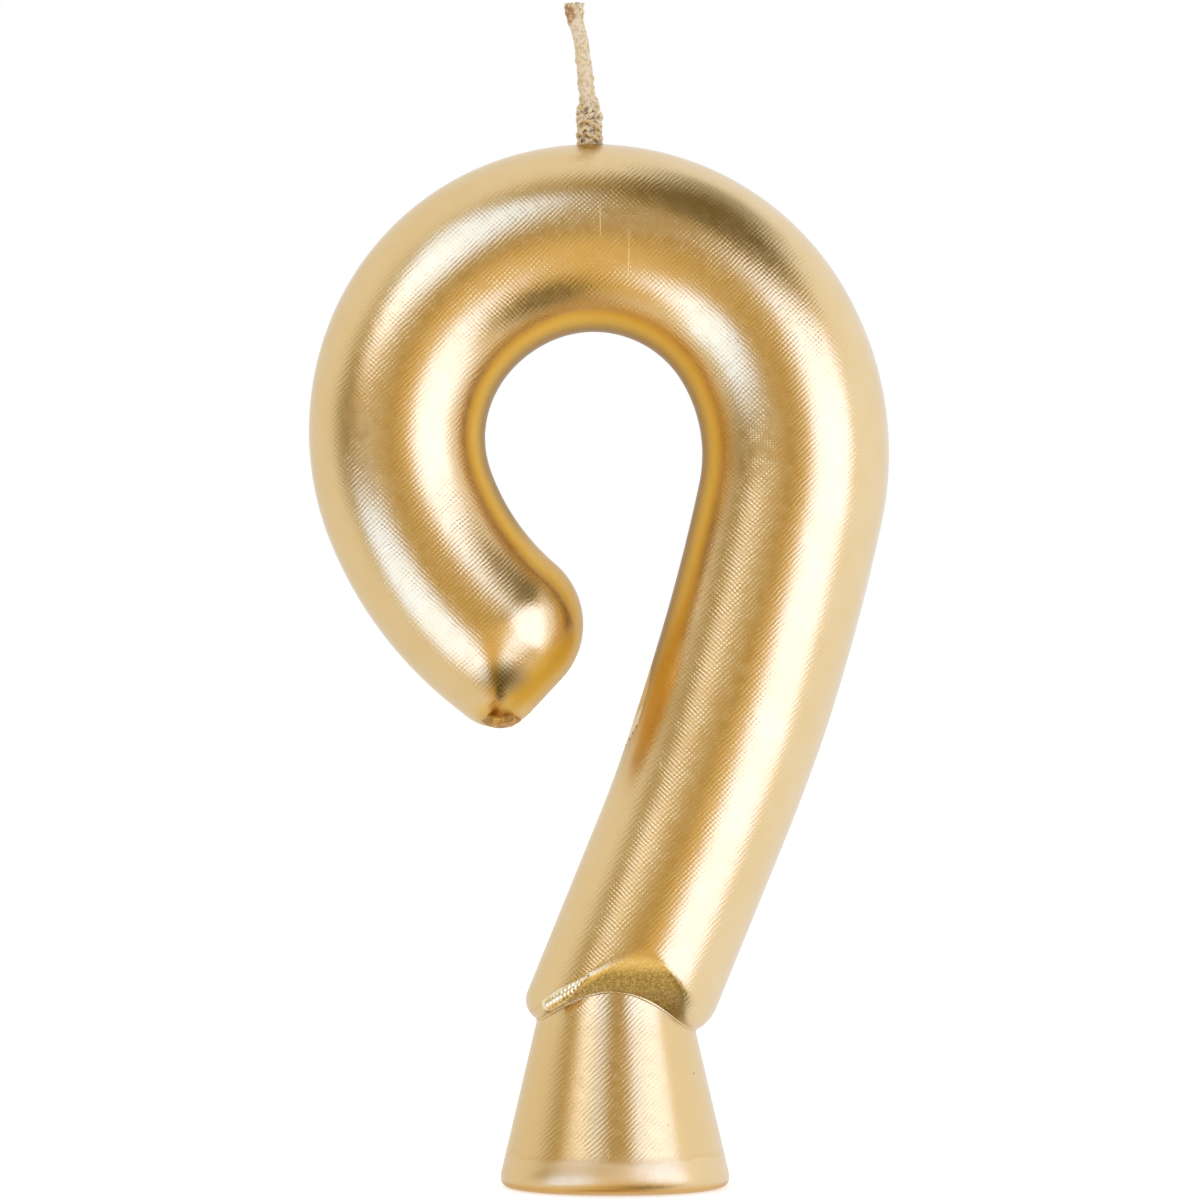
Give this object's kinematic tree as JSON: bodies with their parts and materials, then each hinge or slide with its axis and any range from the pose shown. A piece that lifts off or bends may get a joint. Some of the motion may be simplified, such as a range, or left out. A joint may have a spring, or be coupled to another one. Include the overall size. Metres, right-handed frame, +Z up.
{
  "type": "number candle",
  "caption": "Moulded numeral candle: a round-stroked nine with an open loop on a short flared foot, metallic gold coat, plaited wick at the crown.",
  "frame": {"origin": "centre of the foot's flat underside", "axes": "+Z up along the foot's axis to the crown and wick, +X to the right of the numeral seen from the front, +Y to its back"},
  "size_m": [0.0414, 0.0162, 0.0847],
  "materials": {
    "wax": "ivory paraffin wax, satin",
    "gold_lacquer": "metallic gold lacquer, satin, with fine tool lines",
    "wick_cotton": "plaited cotton stiffened with wax and gold lacquer"
  },
  "bodies": {
    "root": {"wax_body": "wax", "gold_coat": "gold_lacquer", "wick": "wick_cotton"}
  },
  "joints": []
}
